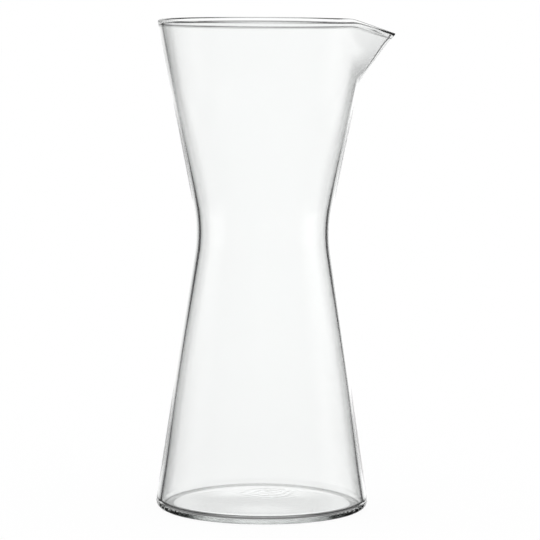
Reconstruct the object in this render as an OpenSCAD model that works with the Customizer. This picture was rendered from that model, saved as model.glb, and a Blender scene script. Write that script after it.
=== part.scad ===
// Hourglass water carafe of clear glass with a pulled spout.
// One gather of glass is worked zone by zone: a pushed-up floor, a foot ring, two cones joined at a
// waist, a fire-polished rim bead and a spout with its lip. Each zone is one solid, and zones meet face
// to face. The origin is the centre of the foot ring on the table, +Z is up and +X is where it pours.

/* [Body] */
// Height from the table to the rim
carafe_h = 240; // [225:1:265]
// Outside diameter of the rim
rim_d = 104.4; // [98:0.2:112]
// Outside diameter at the narrowest height of the waist
waist_d = 66.2; // [60:0.2:74]
// Height of the narrowest part of the waist
waist_z = 136; // [122:1:148]
// Radius of the bend that joins the two cones
waist_bend_r = 70; // [40:1:90]
// Outside diameter where the line of the lower cone meets the table
base_d = 105.4; // [98:0.2:114]

/* [Glass] */
// Wall at the top of the upper cone
rim_wall = 1.9; // [1.5:0.1:2.1]
// Wall at the thinnest height of the upper cone
upper_wall = 1.3; // [1.1:0.1:1.9]
// Wall at the waist
waist_wall = 2.5; // [2:0.1:3.2]
// Wall at the thinnest height of the lower cone
lower_wall = 1.8; // [1.4:0.1:2.4]
// Wall at the foot of the lower cone
foot_wall = 2.7; // [2:0.1:3.2]

/* [Foot] */
// Height of the foot ring
foot_h = 12; // [10:0.5:20]
// Thickness of the floor
floor_t = 2.6; // [2.2:0.1:4]
// Rounding of the heel outside
heel_r = 3.7; // [2.4:0.1:5]
// Rounding between the floor and the wall inside
corner_r = 2.3; // [1.5:0.1:4]
// Width of the flat ring that stands on the table
rest_w = 8; // [4:0.5:12]
// Rise of the floor's pushed-up centre
pushup_h = 0.8; // [0.5:0.1:3]

/* [Rim] */
// Thickness of the bead at the rim
bead_d = 2.4; // [2.2:0.1:3]
// Height of the bead inside, from its top to where it has thinned to the wall
bead_h = 2.3; // [2:0.1:3]
// Height of the short step under the bead
step_h = 0.5; // [0.3:0.1:0.8]
// Rounding of the bead's outside edge
edge_out_r = 1.2; // [0.8:0.1:1.2]
// Rounding of the bead's inside edge
edge_in_r = 0.6; // [0.4:0.1:0.9]
// Height of the rim zone, from its joint with the upper cone to the top of the bead
rim_h = 5; // [4:0.5:8]

/* [Spout] */
// Distance from the axis to the outside of the ridge at the tip's height
spout_reach = 64.8; // [61:0.2:68]
// Height of the tip below the rim
spout_drop = 6; // [4:0.5:9]
// Height over which the glass is pulled, measured down from the rim
spout_h = 29.5; // [24:0.5:36]
// Height of the soft bend where the ridge leaves the cone
spout_bend_h = 10; // [6:0.5:16]
// Extra reach of the curled tip, so that the last drop falls clear
tip_curl = 1.2; // [0.5:0.1:2]
// Height of the curl below the tip
tip_curl_h = 7; // [5:0.5:10]
// Distance from the axis to where the lip begins to fall
lip_start_x = 45.4; // [43:0.2:48]
// Length of the soft corner where the lip begins to fall
lip_corner_l = 5; // [2:0.5:8]
// Angle about the axis over which each side of the ridge is rounded
ridge_angle = 4; // [2:0.5:8]

/* [Hidden] */
$fn = 96;

// Clear glass with a faint green-grey cast
glass_colour = [0.85, 0.91, 0.89, 0.45];
// How far a cut runs past the glass
overrun = 2;
// Heights of the thinnest walls, as shares of their cones
upper_thin_share = 0.62;
lower_thin_share = 0.42;
// Points along a round stretch, a cone, a dome, a bead's edge, its step and the spout's two ways
arc_steps = 10;
cone_steps = 8;
dome_steps = 16;
bead_steps = 6;
neck_steps = 4;
spout_steps = 40;
spout_levels = 12;
// Crowding of the spout's steps towards its ridge
crowding = 1.6;
// Passes that settle the lip's height on the pulled wall
settle_passes = 10;

rim_r = rim_d / 2;
waist_r = waist_d / 2;
base_r = base_d / 2;
rim_z = carafe_h - rim_h;

// The waist bend is an arc outside the glass, and each cone's line is tangent to it
bend_x = waist_r + waist_bend_r;
function tangent_angle(r, z, turn) =
    atan2(z - waist_z, r - bend_x) + turn * acos(waist_bend_r / norm([r - bend_x, z - waist_z]));
upper_angle = tangent_angle(rim_r, carafe_h, 1);
lower_angle = tangent_angle(base_r, 0, -1);
bend_top_z = waist_z + waist_bend_r * sin(upper_angle);
bend_top_r = bend_x + waist_bend_r * cos(upper_angle);
bend_low_z = waist_z + waist_bend_r * sin(lower_angle);
bend_low_r = bend_x + waist_bend_r * cos(lower_angle);
upper_slope = (rim_r - bend_top_r) / (carafe_h - bend_top_z);
lower_slope = (base_r - bend_low_r) / bend_low_z;
upper_tilt = atan(upper_slope);
lower_tilt = atan(lower_slope);

// Outside radius, lean of the wall and wall thickness at a height
function outer_r(z) =
    z >= bend_top_z ? rim_r - (carafe_h - z) * upper_slope :
    z <= bend_low_z ? base_r - z * lower_slope :
    bend_x - sqrt(waist_bend_r ^ 2 - (z - waist_z) ^ 2);
function lean(z) =
    z >= bend_top_z ? upper_slope :
    z <= bend_low_z ? -lower_slope :
    (z - waist_z) / sqrt(waist_bend_r ^ 2 - (z - waist_z) ^ 2);
upper_thin_z = bend_top_z + (rim_z - bend_top_z) * upper_thin_share;
lower_thin_z = foot_h + (bend_low_z - foot_h) * lower_thin_share;
function ease(share) = share ^ 2 * (3 - 2 * share);
function eased(z, low, high) = low[1] + (high[1] - low[1]) * ease((z - low[0]) / (high[0] - low[0]));
function wall(z) =
    z <= lower_thin_z ? eased(z, [foot_h, foot_wall], [lower_thin_z, lower_wall]) :
    z <= bend_low_z ? eased(z, [lower_thin_z, lower_wall], [bend_low_z, waist_wall]) :
    z <= bend_top_z ? waist_wall :
    z <= upper_thin_z ? eased(z, [bend_top_z, waist_wall], [upper_thin_z, upper_wall]) :
    eased(z, [upper_thin_z, upper_wall], [rim_z, rim_wall]);
function level_width(z, thickness) = thickness * norm([1, lean(z)]);
function inner_r(z) = outer_r(z) - level_width(z, wall(z));

function arc(centre, r, from, to, steps) =
    [for (i = [0 : steps])
        let (a = from + (to - from) * i / steps) centre + r * [cos(a), sin(a)]];

// Foot: the heel rounds the outside corner, the inside corner rounds the floor into the wall
heel_centre = [base_r - heel_r * (1 + sin(lower_tilt)) / cos(lower_tilt), heel_r];
corner_z = floor_t + corner_r;
corner_centre = [base_r - (foot_wall + corner_r + corner_z * sin(lower_tilt)) / cos(lower_tilt), corner_z];
rest_inner_r = heel_centre[0] - rest_w;

// Rise of the floor at a radius, level at the centre and at the foot ring
function pushup(r) = pushup_h * (1 - (r / rest_inner_r) ^ 2) ^ 2;

// Rim: the bead is flush with the outside and stands proud inside. Its top is square to the wall and both
// edges are rounded
edge_in_centre = [
    outer_r(carafe_h - edge_in_r) - (bead_d - edge_in_r) / cos(upper_tilt),
    carafe_h - edge_in_r
];
edge_out_centre = edge_in_centre
    + (bead_d - edge_in_r - edge_out_r) * [cos(upper_tilt), -sin(upper_tilt)]
    - (edge_out_r - edge_in_r) * [sin(upper_tilt), cos(upper_tilt)];
edge_low_z = edge_out_centre[1] - edge_out_r * sin(upper_tilt);
bead_low_z = carafe_h - bead_h;
function bead_inner_r(share) =
    let (z = bead_low_z + step_h * share)
    outer_r(z) - level_width(z, rim_wall + (bead_d - rim_wall) * ease(share));
rim_outline = concat(
    [for (i = [0 : neck_steps])
        let (z = rim_z + (edge_low_z - rim_z) * i / (neck_steps + 1)) [outer_r(z), z]],
    arc(edge_out_centre, edge_out_r, -upper_tilt, 90 - upper_tilt, bead_steps),
    arc(edge_in_centre, edge_in_r, 90 - upper_tilt, 180 - upper_tilt, bead_steps),
    [for (i = [neck_steps : -1 : 1])
        let (share = (i - 1) / (neck_steps - 1)) [bead_inner_r(share), bead_low_z + step_h * share]],
    [[outer_r(rim_z) - level_width(rim_z, rim_wall), rim_z]]
);

// Spout: the ridge leaves the cone, and two flat sides run from it to where they touch the cone's circle
function soft_ramp(x, half) = x <= -half ? 0 : x >= half ? x : (x + half) ^ 2 / (4 * half);
tip_z = carafe_h - spout_drop;
pull_z = carafe_h - spout_h;
spout_low_z = pull_z - spout_bend_h / 2;
pull_slope = (spout_reach - tip_curl - outer_r(tip_z)) / soft_ramp(tip_z - pull_z, spout_bend_h / 2);
function curl(z) = tip_curl * max(0, (z - tip_z + tip_curl_h) / tip_curl_h) ^ 2;
function ridge_r(z) = outer_r(z) + pull_slope * soft_ramp(z - pull_z, spout_bend_h / 2) + curl(z);
function fold_angle(z) = acos(outer_r(z) / ridge_r(z)) + ridge_angle / 2;
function rounded_angle(a) = abs(a) < ridge_angle ? (a ^ 2 / ridge_angle + ridge_angle) / 2 : abs(a);
function pulled_r(a, z) = outer_r(z) / cos(max(0, fold_angle(z) - rounded_angle(a)));

// Lip: level round the rim, then a straight fall to the tip
lip_slope = spout_drop / (spout_reach - lip_start_x);
function lip_fall(a, fall = 0, passes = settle_passes) =
    passes == 0 ? fall :
    let (x = pulled_r(a, carafe_h - fall) * cos(a) - lip_start_x)
    lip_fall(a, lip_slope * soft_ramp(x, lip_corner_l / 2), passes - 1);

// Angles across the spout, closer together near the ridge
spout_angle = fold_angle(carafe_h);
spout_angles = [for (i = [-spout_steps / 2 : spout_steps / 2])
    spout_angle * sign(i) * (abs(i) / (spout_steps / 2)) ^ crowding];
spout_falls = [for (a = spout_angles) lip_fall(a)];

// A point of the round outline, carried out and down with the pulled glass
function pulled(point, a, fall) =
    let (
        z = point[1] - fall * (point[1] - spout_low_z) / (carafe_h - spout_low_z),
        r = pulled_r(a, z) * point[0] / outer_r(point[1])
    )
    [r * cos(a), r * sin(a), z];

// Solid between the pulled copies of an outline
module pulled_loft(outline) {
    count = len(outline);
    last = len(spout_angles) - 1;
    points = [for (j = [0 : last]) for (p = outline) pulled(p, spout_angles[j], spout_falls[j])];
    // Each end is a ladder whose rungs cross the glass from the outside to the inside
    start_face = [for (i = [0 : count / 2 - 1])
        let (far = count - 1 - i)
        each concat(
            i + 1 < far ? [[i, i + 1, far]] : [],
            i + 1 < far - 1 ? [[i + 1, far - 1, far]] : []
        )];
    end_face = [for (f = start_face) [for (i = [2 : -1 : 0]) last * count + f[i]]];
    sides = [for (j = [0 : last - 1]) for (i = [0 : count - 1])
        let (
            a = j * count + i,
            b = j * count + (i + 1) % count,
            c = b + count,
            d = a + count
        )
        each [[a, d, c], [a, c, b]]];
    polyhedron(points, concat(start_face, end_face, sides));
}

// Section of the plain wall at rising heights, outside first
function wall_section(heights) = concat(
    [for (z = heights) [outer_r(z), z]],
    [for (i = [len(heights) - 1 : -1 : 0]) [inner_r(heights[i]), heights[i]]]
);
function heights(low_z, high_z, steps) = [for (i = [0 : steps]) low_z + (high_z - low_z) * i / steps];

// Pushed-up floor inside the foot ring
module floor_dome() {
    radii = [for (i = [0 : dome_steps]) rest_inner_r * i / dome_steps];
    color(glass_colour)
        rotate_extrude()
            polygon(concat(
                [for (r = radii) [r, pushup(r)]],
                [for (i = [dome_steps : -1 : 0]) [radii[i], floor_t + pushup(radii[i])]]
            ));
}

// Thick ring that stands on the table, with the heel outside and the floor's corner inside
module foot_ring() {
    color(glass_colour)
        rotate_extrude()
            polygon(concat(
                [[rest_inner_r, 0]],
                arc(heel_centre, heel_r, -90, lower_tilt, arc_steps),
                [[outer_r(foot_h), foot_h], [inner_r(foot_h), foot_h]],
                arc(corner_centre, corner_r, lower_tilt, -90, arc_steps),
                [[rest_inner_r, floor_t]]
            ));
}

// Cone that narrows from the foot to the waist
module lower_cone() {
    color(glass_colour)
        rotate_extrude()
            polygon(wall_section(concat(
                heights(foot_h, lower_thin_z, cone_steps),
                [for (i = [1 : cone_steps]) lower_thin_z + (bend_low_z - lower_thin_z) * i / cone_steps]
            )));
}

// Smooth bend between the two cones
module waist() {
    color(glass_colour)
        rotate_extrude()
            polygon(wall_section(heights(bend_low_z, bend_top_z, arc_steps)));
}

// Cone that widens from the waist to the rim, open at the front for the spout
module upper_cone() {
    color(glass_colour)
        difference() {
            rotate_extrude()
                polygon(wall_section(concat(
                    heights(bend_top_z, spout_low_z, cone_steps),
                    [for (i = [1 : spout_levels]) spout_low_z + (rim_z - spout_low_z) * i / spout_levels]
                )));
            rotate_extrude(angle = 2 * spout_angle, start = -spout_angle)
                translate([0, spout_low_z])
                    square([rim_r + overrun, rim_z - spout_low_z + overrun]);
        }
}

// Fire-polished bead round the mouth, from one side of the spout to the other
module rim_bead() {
    color(glass_colour)
        rotate_extrude(angle = 360 - 2 * spout_angle, start = spout_angle)
            polygon(rim_outline);
}

// Wall of the spout, pulled out of the upper cone
module spout() {
    color(glass_colour)
        pulled_loft(wall_section(heights(spout_low_z, rim_z, spout_levels)));
}

// Lip of the spout, the rim's bead carried on round the tip
module spout_lip() {
    color(glass_colour)
        pulled_loft(rim_outline);
}

floor_dome();
foot_ring();
lower_cone();
waist();
upper_cone();
rim_bead();
spout();
spout_lip();
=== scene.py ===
import math

import bpy
from mathutils import Matrix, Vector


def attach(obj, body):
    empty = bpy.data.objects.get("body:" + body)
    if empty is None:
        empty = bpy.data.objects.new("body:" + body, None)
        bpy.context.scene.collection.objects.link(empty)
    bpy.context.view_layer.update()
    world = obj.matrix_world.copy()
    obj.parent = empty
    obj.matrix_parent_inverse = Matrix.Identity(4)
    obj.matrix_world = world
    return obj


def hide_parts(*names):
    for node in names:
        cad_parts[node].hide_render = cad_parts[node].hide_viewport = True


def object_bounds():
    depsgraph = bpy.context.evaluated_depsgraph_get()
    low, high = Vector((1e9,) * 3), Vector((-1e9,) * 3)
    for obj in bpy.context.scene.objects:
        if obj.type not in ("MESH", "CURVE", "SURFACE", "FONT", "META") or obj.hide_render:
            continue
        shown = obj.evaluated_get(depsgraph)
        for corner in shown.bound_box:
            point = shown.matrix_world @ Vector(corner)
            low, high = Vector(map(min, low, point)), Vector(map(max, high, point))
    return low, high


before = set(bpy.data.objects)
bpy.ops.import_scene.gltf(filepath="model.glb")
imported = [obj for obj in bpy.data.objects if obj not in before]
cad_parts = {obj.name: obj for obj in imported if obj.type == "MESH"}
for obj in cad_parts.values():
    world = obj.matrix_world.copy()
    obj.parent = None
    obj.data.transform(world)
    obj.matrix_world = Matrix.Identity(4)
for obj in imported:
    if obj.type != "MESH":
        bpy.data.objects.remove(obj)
cadLow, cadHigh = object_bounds()
zones = sorted(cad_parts)
scene = bpy.context.scene
print("frame loaded, zones of the glass:", ", ".join(zones))

# camera: placed from the outline of the glass in the photo
shot = {
    "distance": 1.550,  # lens to the carafe's axis
    "height": 0.2813,  # lens above the table
    "pitchDown": 6.0306,
    "turnRight": 0.1269,
    "roll": 0.34,
    "lens": 211.81,
    "sensor": 36.0,
    "clipEnd": 50,
}


def setUpCamera(plan):
    bpy.ops.object.select_all(action="DESELECT")
    bpy.ops.object.camera_add()
    camera = bpy.context.object
    camera.name = "productCamera"
    turn = Matrix.Rotation(math.radians(-plan["turnRight"]), 4, "Z")
    tilt = Matrix.Rotation(math.radians(90 - plan["pitchDown"]), 4, "X")
    roll = Matrix.Rotation(math.radians(plan["roll"]), 4, "Z")
    place = Matrix.Translation((0, -plan["distance"], plan["height"]))
    camera.matrix_world = place @ turn @ tilt @ roll
    camera.data.lens = plan["lens"]
    camera.data.sensor_width = plan["sensor"]
    camera.data.clip_end = plan["clipEnd"]
    scene.camera = camera
    return camera


camera = setUpCamera(shot)
print("camera set")


# shader maths: a wire is one socket, and sums and products of wires add their Math nodes
class Wire:
    def __init__(self, bench, socket):
        self.bench = bench
        self.socket = socket

    def maths(self, operation, first, second):
        return self.bench.add("ShaderNodeMath", {"operation": operation}, {0: first, 1: second})

    def __add__(self, other):
        return self.maths("ADD", self, other)

    def __radd__(self, other):
        return self.maths("ADD", other, self)

    def __mul__(self, other):
        return self.maths("MULTIPLY", self, other)

    def __rmul__(self, other):
        return self.maths("MULTIPLY", other, self)


# one bench for each material or world: it makes nodes and joins them up
class Bench:
    def __init__(self, tree):
        self.tree = tree
        self.tree.nodes.clear()

    def add(self, kind, settings=None, inputs=None, out=0):
        node = self.tree.nodes.new(kind)
        for name, value in (settings or {}).items():
            if name == "stops":
                ramp = node.color_ramp.elements
                while len(ramp) < len(value):
                    ramp.new(1.0)
                for stop, (place, shade) in zip(ramp, value):
                    stop.position = place
                    stop.color = shade
            else:
                setattr(node, name, value)
        for name, value in (inputs or {}).items():
            if isinstance(value, Wire):
                self.tree.links.new(value.socket, node.inputs[name])
            else:
                node.inputs[name].default_value = value
        return Wire(self, node.outputs[out]) if node.outputs else node

    def shade(self, share, angles, circle):
        stops = [(angle / circle + 0.5, (grey, grey, grey, 1)) for angle, grey in angles]
        return self.add("ShaderNodeValToRGB", {"stops": stops}, {"Fac": share})

    def split(self, vector):
        parts = self.add("ShaderNodeSeparateXYZ", inputs={"Vector": vector}).socket.node.outputs
        return [Wire(self, part) for part in parts]


def newMaterial(name):
    material = bpy.data.materials.new(name)
    material.use_nodes = True
    return material, Bench(material.node_tree)


# the carafe's sizes in metres and degrees, the same as in the CAD
carafe = {
    "height": cadHigh.z,
    "rimRadius": 0.0522,
    "waistRadius": 0.0331,
    "waistHeight": 0.136,
    "waistBend": 0.070,
    "baseRadius": 0.0527,
    "rimWall": 0.0019,
    "upperWall": 0.0013,
    "waistWall": 0.0025,
    "lowerWall": 0.0018,
    "footWall": 0.0027,
    "upperThin": 0.62,  # share of the cone's height at which its wall is thinnest
    "lowerThin": 0.42,
    "footHeight": 0.012,
    "floorThickness": 0.0026,
    "heelRadius": 0.0037,
    "cornerRadius": 0.0023,
    "restWidth": 0.008,
    "pushUp": 0.0008,
    "beadThickness": 0.0024,
    "beadHeight": 0.0023,
    "stepHeight": 0.0005,
    "edgeOut": 0.0012,
    "edgeIn": 0.0006,
    "rimHeight": 0.005,
    "spoutReach": 0.0648,
    "spoutDrop": 0.006,
    "spoutHeight": 0.0295,
    "spoutBend": 0.010,
    "tipCurl": 0.0012,
    "tipCurlHeight": 0.007,
    "lipStart": 0.0454,
    "lipCorner": 0.005,
    "ridgeAngle": 4,
    "lipRounds": 10,  # rounds that settle the lip's fall
    # how finely each stretch of the section is drawn and the whole of it is spun
    "floorSteps": 24,
    "heelSteps": 44,
    "cornerSteps": 28,
    "edgeOutSteps": 12,
    "edgeInSteps": 10,
    "beadSteps": 3,
    "ledgeSteps": 10,
    "coneSteps": 4,
    "bendSteps": 18,
    "spoutSteps": 18,
    "innerUpperSteps": 14,
    "innerLowerSteps": 18,
    "spinSteps": 320,
    "closeStep": 0.0002,  # short faces next to a rounding keep the long ones truly flat
    "mergeDistance": 2e-6,
}


class Profile:
    def __init__(self, size):
        self.__dict__.update(size)
        self.rimZ = self.height - self.rimHeight
        self.bendX = self.waistRadius + self.waistBend
        upper = self.tangentAngle(self.rimRadius, self.height, 1)
        lower = self.tangentAngle(self.baseRadius, 0, -1)
        self.bendTop = self.waistHeight + self.waistBend * math.sin(upper)
        self.bendLow = self.waistHeight + self.waistBend * math.sin(lower)
        topRadius = self.bendX + self.waistBend * math.cos(upper)
        lowRadius = self.bendX + self.waistBend * math.cos(lower)
        self.upperSlope = (self.rimRadius - topRadius) / (self.height - self.bendTop)
        self.lowerSlope = (self.baseRadius - lowRadius) / self.bendLow
        self.upperTilt = math.atan(self.upperSlope)
        self.lowerTilt = math.atan(self.lowerSlope)
        self.setUpFoot()
        self.setUpBead()
        self.setUpSpout()

    def tangentAngle(self, r, z, side):
        across, up = r - self.bendX, z - self.waistHeight
        return math.atan2(up, across) + side * math.acos(self.waistBend / math.hypot(across, up))

    def setUpFoot(self):
        tilt = self.lowerTilt
        self.heelCentre = (
            self.baseRadius - self.heelRadius * (1 + math.sin(tilt)) / math.cos(tilt),
            self.heelRadius,
        )
        cornerZ = self.floorThickness + self.cornerRadius
        inset = self.footWall + self.cornerRadius + cornerZ * math.sin(tilt)
        self.cornerCentre = (self.baseRadius - inset / math.cos(tilt), cornerZ)
        self.restInner = self.heelCentre[0] - self.restWidth

    def setUpBead(self):
        cos, sin = math.cos(self.upperTilt), math.sin(self.upperTilt)
        z = self.height - self.edgeIn
        x = self.outerRadius(z) - (self.beadThickness - self.edgeIn) / cos
        across = self.beadThickness - self.edgeIn - self.edgeOut
        deeper = self.edgeOut - self.edgeIn
        self.edgeInCentre = (x, z)
        self.edgeOutCentre = (x + across * cos - deeper * sin, z - across * sin - deeper * cos)
        self.beadLow = self.height - self.beadHeight

    def setUpSpout(self):
        self.tipZ = self.height - self.spoutDrop
        self.pullZ = self.height - self.spoutHeight
        self.spoutLow = self.pullZ - self.spoutBend / 2
        reach = self.spoutReach - self.tipCurl - self.outerRadius(self.tipZ)
        self.pullSlope = reach / softRamp(self.tipZ - self.pullZ, self.spoutBend / 2)
        self.lipSlope = self.spoutDrop / (self.spoutReach - self.lipStart)
        self.spoutAngle = self.foldAngle(self.height)
        self.falls = {}

    def outerRadius(self, z):
        if z >= self.bendTop:
            return self.rimRadius - (self.height - z) * self.upperSlope
        if z <= self.bendLow:
            return self.baseRadius - z * self.lowerSlope
        return self.bendX - math.sqrt(self.waistBend ** 2 - (z - self.waistHeight) ** 2)

    def lean(self, z):
        if z >= self.bendTop:
            return self.upperSlope
        if z <= self.bendLow:
            return -self.lowerSlope
        up = z - self.waistHeight
        return up / math.sqrt(self.waistBend ** 2 - up ** 2)

    def wall(self, z):
        stations = (
            (self.footHeight, self.footWall),
            (self.footHeight + (self.bendLow - self.footHeight) * self.lowerThin, self.lowerWall),
            (self.bendLow, self.waistWall),
            (self.bendTop, self.waistWall),
            (self.bendTop + (self.rimZ - self.bendTop) * self.upperThin, self.upperWall),
            (self.rimZ, self.rimWall),
        )
        for (lowZ, lowWall), (highZ, highWall) in zip(stations, stations[1:]):
            if z <= highZ:
                return lowWall + (highWall - lowWall) * ease((z - lowZ) / (highZ - lowZ))
        return self.rimWall

    def innerRadius(self, z):
        thickness = self.wall(z)
        if z > self.beadLow:
            thickness += (self.beadThickness - self.rimWall) * ease((z - self.beadLow) / self.stepHeight)
        return self.outerRadius(z) - thickness * math.hypot(1, self.lean(z))

    def floorRise(self, r):
        return self.pushUp * (1 - (r / self.restInner) ** 2) ** 2

    # the ridge leaves the cone, and two flat sides run from it to the cone's circle
    def ridgeRadius(self, z):
        curl = max(0, (z - self.tipZ + self.tipCurlHeight) / self.tipCurlHeight)
        pull = self.pullSlope * softRamp(z - self.pullZ, self.spoutBend / 2)
        return self.outerRadius(z) + pull + self.tipCurl * curl ** 2

    def foldAngle(self, z):
        share = self.outerRadius(z) / self.ridgeRadius(z)
        return math.degrees(math.acos(min(1, share))) + self.ridgeAngle / 2

    def pulledRadius(self, angle, z):
        away = abs(angle)
        if away < self.ridgeAngle:
            away = (away ** 2 / self.ridgeAngle + self.ridgeAngle) / 2
        return self.outerRadius(z) / math.cos(math.radians(max(0, self.foldAngle(z) - away)))

    # how far the lip lies below the rim: level at first, then a straight fall to the tip
    def lipFall(self, angle):
        key = round(angle, 4)
        if key not in self.falls:
            fall = 0
            for _ in range(self.lipRounds):
                x = self.pulledRadius(angle, self.height - fall) * math.cos(math.radians(angle))
                fall = self.lipSlope * softRamp(x - self.lipStart, self.lipCorner / 2)
            self.falls[key] = fall
        return self.falls[key]

    # the closed section from the middle of the underside, up the outside, over the rim and back inside
    def section(self):
        low, high = math.degrees(self.lowerTilt), math.degrees(self.upperTilt)
        close = self.closeStep
        radii = spread(0, self.restInner, self.floorSteps)
        underside = [(r, self.floorRise(r)) for r in radii] + [(self.heelCentre[0] - close, 0)]
        heel = arcPoints(self.heelCentre, self.heelRadius, -90, low, self.heelSteps)
        edge = arcPoints(self.edgeOutCentre, self.edgeOut, -high, 90 - high, self.edgeOutSteps)
        edge += arcPoints(self.edgeInCentre, self.edgeIn, 90 - high, 180 - high, self.edgeInSteps)
        stepTop = self.beadLow + self.stepHeight
        outerLevels = (
            [heel[-1][1] + close]
            + spread(heel[-1][1], self.bendLow, self.coneSteps)[1:]
            + spread(self.bendLow, self.bendTop, self.bendSteps)[1:]
            + spread(self.bendTop, self.spoutLow, self.coneSteps)[1:]
            + spread(self.spoutLow, self.rimZ, self.spoutSteps)[1:]
            + spread(self.rimZ, edge[0][1] - close, self.coneSteps)[1:]
        )
        outside = [(self.outerRadius(z), z) for z in outerLevels]
        corner = arcPoints(self.cornerCentre, self.cornerRadius, low, -90, self.cornerSteps)
        innerLevels = (
            spread(edge[-1][1], stepTop, self.beadSteps)[1:]
            + spread(stepTop, self.beadLow, self.ledgeSteps)[1:]
            + spread(self.beadLow, self.rimZ, self.beadSteps)[1:]
            + spread(self.rimZ, self.spoutLow, self.spoutSteps)[1:]
            + spread(self.spoutLow, self.bendTop, self.innerUpperSteps)[1:]
            + spread(self.bendTop, self.bendLow, self.bendSteps)[1:]
            + spread(self.bendLow, self.footHeight, self.innerLowerSteps)[1:]
            + [corner[0][1] + close]
        )
        inside = [(self.innerRadius(z), z) for z in innerLevels]
        floor = [(corner[-1][0] - close, self.floorThickness)]
        floor += [(r, self.floorThickness + self.floorRise(r)) for r in reversed(radii)]
        return underside + heel + outside + edge + inside + corner + floor

    # where a point of the round glass goes when the spout is pulled
    def pulled(self, x, y, z):
        angle = math.degrees(math.atan2(y, x))
        if z <= self.spoutLow or abs(angle) >= self.spoutAngle:
            return x, y, z
        share = math.hypot(x, y) / self.outerRadius(z)
        lowered = z - self.lipFall(angle) * (z - self.spoutLow) / (self.height - self.spoutLow)
        r = self.pulledRadius(angle, lowered) * share
        return r * math.cos(math.radians(angle)), r * math.sin(math.radians(angle)), lowered


def softRamp(x, half):
    if x <= -half:
        return 0
    return x if x >= half else (x + half) ** 2 / (4 * half)


def ease(share):
    share = min(1, max(0, share))
    return share ** 2 * (3 - 2 * share)


def spread(low, high, steps):
    return [low + (high - low) * i / steps for i in range(steps + 1)]


def arcPoints(centre, r, start, end, steps):
    angles = [math.radians(a) for a in spread(start, end, steps)]
    return [(centre[0] + r * math.cos(a), centre[1] + r * math.sin(a)) for a in angles]


def modelCarafe(size):
    profile = Profile(size)
    points = profile.section()
    bpy.ops.object.select_all(action="DESELECT")
    bpy.ops.mesh.primitive_plane_add(location=(0, 0, 0))
    glass = bpy.context.object
    glass.name = "glass_carafe"
    bpy.ops.object.mode_set(mode="EDIT")
    bpy.ops.mesh.select_all(action="SELECT")
    bpy.ops.mesh.merge(type="CENTER")  # one corner to draw the section from
    bpy.ops.transform.translate(value=(points[0][0], 0, points[0][1]))
    for (r0, z0), (r1, z1) in zip(points, points[1:]):
        bpy.ops.mesh.extrude_region_move(TRANSFORM_OT_translate={"value": (r1 - r0, 0, z1 - z0)})
    bpy.ops.mesh.select_all(action="SELECT")
    bpy.ops.mesh.spin(steps=size["spinSteps"], angle=2 * math.pi, center=(0, 0, 0), axis=(0, 0, 1))
    bpy.ops.mesh.select_all(action="SELECT")
    bpy.ops.mesh.remove_doubles(threshold=size["mergeDistance"])
    bpy.ops.mesh.normals_make_consistent(inside=False)
    bpy.ops.object.mode_set(mode="OBJECT")
    for corner in glass.data.vertices:
        corner.co = profile.pulled(*corner.co)
    bpy.ops.object.shade_smooth()
    print("carafe blown and spout pulled:", len(glass.data.polygons), "faces")
    return glass


# clear glass: a faint green-grey in depth, slow waves from blowing, a swirl left on the floor,
# and a breath of wear in the polish
clearGlass = {
    "ior": 1.517,
    "tint": (0.992, 0.998, 0.995, 1),
    "depthColour": (0.70, 0.78, 0.75, 1),
    "depthDensity": 2.0,
    "waveScale": 16,
    "rippleScale": 48,
    "waveDetail": 1,
    "waveStretch": (1, 1, 0.4),  # drawn out along the axis
    "waveShare": 0.8,  # the rest is ripples
    "waveBump": 0.02,
    "waveDepth": 0.0004,
    "hazeScale": 55,
    "hazeDetail": 4,
    "hazeFrom": (0.5, 0.8),
    "hazeRoughness": 0.006,
    "footClear": (0.012, 0.035),  # heights between which waves and wear set in
    "swirlPlace": (0.003, 0.021, 0.003),  # the mark that the work leaves on the floor
    "swirlReach": (0.021, 0.008),
    "swirlScale": 60,
    "swirlTwist": 6,
    "swirlTwistScale": 2,
    "swirlHeight": 5,
    "shadow": (0.93, 0.95, 0.94, 1),
}


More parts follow.
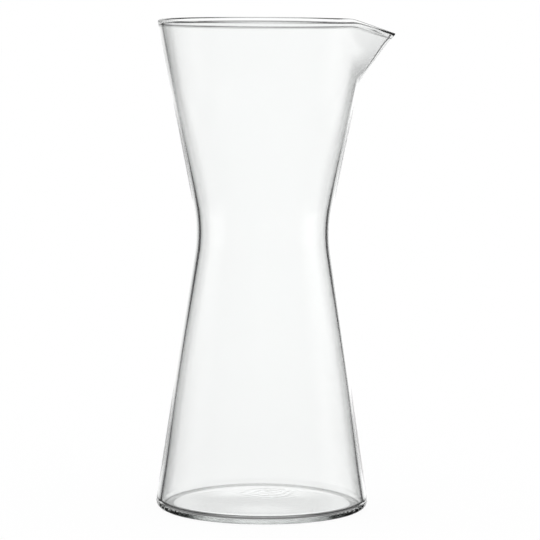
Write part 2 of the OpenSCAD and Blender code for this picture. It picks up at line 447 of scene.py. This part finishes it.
def glassMaterial(look):
    material, bench = newMaterial("clearGlass")
    place = bench.add("ShaderNodeTexCoord", out=3)
    height = bench.split(place)[2]
    drawn = bench.add("ShaderNodeMapping", inputs={"Vector": place, "Scale": look["waveStretch"]})
    slow, fine = (
        bench.add(
            "ShaderNodeTexNoise",
            inputs={"Vector": drawn, "Scale": look[scale], "Detail": look["waveDetail"]},
        )
        for scale in ("waveScale", "rippleScale")
    )
    wall = bench.add(
        "ShaderNodeMapRange",
        {"interpolation_type": "SMOOTHSTEP"},
        {"Value": height, "From Min": look["footClear"][0], "From Max": look["footClear"][1]},
    )
    away = [-part for part in look["swirlPlace"]]
    swirl = bench.add("ShaderNodeMapping", inputs={"Vector": place, "Location": away})
    reach = bench.add("ShaderNodeVectorMath", {"operation": "LENGTH"}, {0: swirl}, out=1)
    mark = bench.add(
        "ShaderNodeMapRange",
        {"interpolation_type": "SMOOTHSTEP"},
        {"Value": reach, "From Min": look["swirlReach"][0], "From Max": look["swirlReach"][1]},
    )
    rings = bench.add(
        "ShaderNodeTexWave",
        {"wave_type": "RINGS", "rings_direction": "SPHERICAL"},
        {
            "Vector": swirl,
            "Scale": look["swirlScale"],
            "Distortion": look["swirlTwist"],
            "Detail Scale": look["swirlTwistScale"],
        },
        out=1,
    )
    share = look["waveShare"]
    wave = wall * (share * slow + (1 - share) * fine) + mark * rings * look["swirlHeight"]
    bump = bench.add(
        "ShaderNodeBump",
        inputs={"Height": wave, "Strength": look["waveBump"], "Distance": look["waveDepth"]},
    )
    smear = bench.add(
        "ShaderNodeTexNoise",
        inputs={"Vector": place, "Scale": look["hazeScale"], "Detail": look["hazeDetail"]},
    )
    polish = bench.add(
        "ShaderNodeMapRange",
        {"interpolation_type": "SMOOTHSTEP"},
        {
            "Value": smear,
            "From Min": look["hazeFrom"][0],
            "From Max": look["hazeFrom"][1],
            "To Max": look["hazeRoughness"],
        },
    )
    body = bench.add(
        "ShaderNodeBsdfPrincipled",
        inputs={
            "Base Color": look["tint"],
            "Roughness": polish * wall,
            "IOR": look["ior"],
            "Transmission Weight": 1.0,
            "Normal": bump,
        },
    )
    lit = bench.add("ShaderNodeBsdfTransparent", inputs={"Color": look["shadow"]})
    path = bench.add("ShaderNodeLightPath", out=1)  # shadow rays
    surface = bench.add("ShaderNodeMixShader", inputs={0: path, 1: body, 2: lit})
    depth = bench.add(
        "ShaderNodeVolumeAbsorption",
        inputs={"Color": look["depthColour"], "Density": look["depthDensity"]},
    )
    bench.add("ShaderNodeOutputMaterial", inputs={"Surface": surface, "Volume": depth})
    return material


glass = modelCarafe(carafe)
glass.data.materials.append(glassMaterial(clearGlass))
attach(glass, "root")
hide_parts(*zones)
print("glass dressed")

# studio: a white table in a bright room, and a tent that only the glass sees, which draws its edges
studio = {
    "tableSize": 12,
    "tableDrop": 0.0002,  # a hair of air under the foot
    "tableColour": (0.9, 0.9, 0.9, 1),
    "tableGlow": 0.95,
    "footShade": (0.0435, 0.0495),  # radii of the painted shadow: a dim ring on the table where the foot stands
    # how bright the painted shadow ring glows
    "footShadeGlow": 0.20,
    "footShadeSides": 160,
    "white": (1, 1, 1, 1),
    "roomLight": 1.11,
    "tentRadius": 1.9,
    "tentCentre": 0.12,  # height of the carafe's middle
    "tentSegments": 96,
    "tentRings": 48,
    "bounces": 64,  # light runs far round inside the heel
    "clothLight": 1.15,
    # brightness of the cloth by degrees to the side: left is minus, straight behind is 0
    "backCloth": (
        (-180, 0.02),
        (-30.5, 0.02),
        (-28.5, 0.58),
        (-22, 0.70),
        (-15, 0.84),
        (-10, 0.93),
        (-4, 0.98),
        (5, 1.00),
        (14, 0.98),
        (22, 0.94),
        (28, 0.78),
        (30.5, 0.02),
        (180, 0.02),
    ),
    # share of that by degrees up
    "backUp": (
        (-90, 0.0),
        (-20, 0.0),
        (-16, 0.94),
        (-13, 0.97),
        (-8, 0.99),
        (-4, 1.00),
        (3.5, 1.00),
        (5.5, 0.64),
        (9, 0.60),
        (12, 1.00),
        (21.5, 1.00),
        (24, 0.03),
        (90, 0.03),
    ),
    # a narrower strip of cloth that goes on below, for the views from above
    "lowCloth": ((-180, 0.02), (-24, 0.02), (-13, 1.0), (13, 1.0), (24, 0.02), (180, 0.02)),
    "lowUp": ((-90, 0.40), (-60, 0.60), (-36, 0.74), (-26, 0.86), (-20, 0.92), (-16, 0.0), (90, 0.0)),
    # two fill lights at the sides and a soft light overhead
    "sideCloth": (
        (-180, 0.0),
        (-114, 0.0),
        (-92, 0.40),
        (-62, 0.50),
        (-50, 0.0),
        (50, 0.0),
        (62, 0.62),
        (92, 0.50),
        (114, 0.0),
        (180, 0.0),
    ),
    "sideUp": ((-90, 0.0), (-20, 0.0), (-14, 1.0), (8, 1.0), (14, 0.0), (90, 0.0)),
    "topUp": ((-90, 0.0), (45, 0.0), (55, 0.90), (90, 0.90)),
    # the white of the table, which steep rays meet through the glass
    "tableUp": ((-90, 0.50), (-70, 0.50), (-56, 0.0), (90, 0.0)),
}


def seenRays(bench):
    path = bench.add("ShaderNodeLightPath")
    rays = {out.name: Wire(bench, out) for out in path.socket.node.outputs}
    return rays["Is Camera Ray"] + rays["Is Glossy Ray"] + rays["Is Transmission Ray"]


def setTable(plan):
    bpy.ops.object.select_all(action="DESELECT")
    bpy.ops.mesh.primitive_plane_add(size=plan["tableSize"], location=(0, 0, -plan["tableDrop"]))
    table = bpy.context.object
    table.name = "table"
    material, bench = newMaterial("whiteTable")
    matt = bench.add("ShaderNodeBsdfDiffuse", inputs={"Color": plan["tableColour"]})
    glow = bench.add("ShaderNodeEmission", inputs={"Color": plan["white"], "Strength": 1.0})
    share = seenRays(bench) * plan["tableGlow"]
    mixed = bench.add("ShaderNodeMixShader", inputs={0: share, 1: matt, 2: glow})
    bench.add("ShaderNodeOutputMaterial", inputs={"Surface": mixed})
    table.data.materials.append(material)
    table.visible_transmission = False  # the glass shows the tent's cloth, which goes on below
    table.visible_glossy = False


# painted shadow: a dim glowing ring stands in for the table's shade right under the foot, and shows only
# through the glass
def setFootShade(plan):
    inner, outer = plan["footShade"]
    bpy.ops.object.select_all(action="DESELECT")
    bpy.ops.mesh.primitive_circle_add(
        vertices=plan["footShadeSides"], radius=outer, location=(0, 0, -plan["tableDrop"] / 2)
    )
    shade = bpy.context.object
    shade.name = "footShade"
    bpy.ops.object.mode_set(mode="EDIT")
    bpy.ops.mesh.select_all(action="SELECT")
    bpy.ops.mesh.extrude_region_move()
    bpy.ops.transform.resize(value=(inner / outer, inner / outer, 1))
    bpy.ops.object.mode_set(mode="OBJECT")
    # the ring's dim glow is painted shade, not a lamp
    material, bench = newMaterial("paintedFootShadow")
    glow = bench.add(
        "ShaderNodeEmission", inputs={"Color": plan["white"], "Strength": plan["footShadeGlow"]}
    )
    bench.add("ShaderNodeOutputMaterial", inputs={"Surface": glow})
    shade.data.materials.append(material)
    shade.visible_camera = False
    shade.visible_diffuse = False
    shade.visible_glossy = False
    shade.visible_shadow = False


def setRoom(plan):
    world = bpy.data.worlds.new("whiteRoom")
    scene.world = world
    world.use_nodes = True
    bench = Bench(world.node_tree)
    lamp = bench.add(
        "ShaderNodeBackground", inputs={"Color": plan["white"], "Strength": plan["roomLight"]}
    )
    seen = bench.add("ShaderNodeBackground", inputs={"Color": plan["white"], "Strength": 1.0})
    mixed = bench.add("ShaderNodeMixShader", inputs={0: seenRays(bench), 1: lamp, 2: seen})
    bench.add("ShaderNodeOutputWorld", inputs={"Surface": mixed})


# the tent goes round the carafe and turns with the camera, so its bright side stays behind the glass
def setTent(plan):
    bpy.ops.object.select_all(action="DESELECT")
    bpy.ops.mesh.primitive_uv_sphere_add(
        segments=plan["tentSegments"], ring_count=plan["tentRings"], radius=plan["tentRadius"]
    )
    tent = bpy.context.object
    tent.name = "lightTent"
    tent.location.z = plan["tentCentre"]
    facing = tent.constraints.new("LOCKED_TRACK")
    facing.target = camera
    facing.track_axis = "TRACK_NEGATIVE_Y"
    facing.lock_axis = "LOCK_Z"
    material, bench = newMaterial("tentCloth")
    place = bench.add("ShaderNodeTexCoord", out=3)
    way = bench.add("ShaderNodeVectorMath", {"operation": "NORMALIZE"}, {0: place})
    x, y, z = bench.split(way)
    turn = bench.add("ShaderNodeMath", {"operation": "ARCTAN2"}, {0: x, 1: y})
    lift = bench.add("ShaderNodeMath", {"operation": "ARCSINE"}, {0: z})
    around = turn * (0.5 / math.pi) + 0.5
    rising = lift * (1 / math.pi) + 0.5
    fullTurn, halfTurn = 360, 180
    back, low, side = (
        bench.shade(around, plan[part + "Cloth"], fullTurn)
        * bench.shade(rising, plan[part + "Up"], halfTurn)
        for part in ("back", "low", "side")
    )
    top, table = (bench.shade(rising, plan[part + "Up"], halfTurn) for part in ("top", "table"))
    light = back + low + side + top + table
    cloth = bench.add("ShaderNodeEmission", inputs={"Color": light, "Strength": plan["clothLight"]})
    bench.add("ShaderNodeOutputMaterial", inputs={"Surface": cloth})
    tent.data.materials.append(material)
    tent.visible_camera = False
    tent.visible_diffuse = False
    tent.visible_shadow = False


setTable(studio)
setFootShade(studio)
setRoom(studio)
setTent(studio)
scene.view_settings.view_transform = "Standard"
scene.cycles.max_bounces = studio["bounces"]
scene.cycles.transmission_bounces = studio["bounces"]
scene.cycles.glossy_bounces = studio["bounces"]
print("studio set")
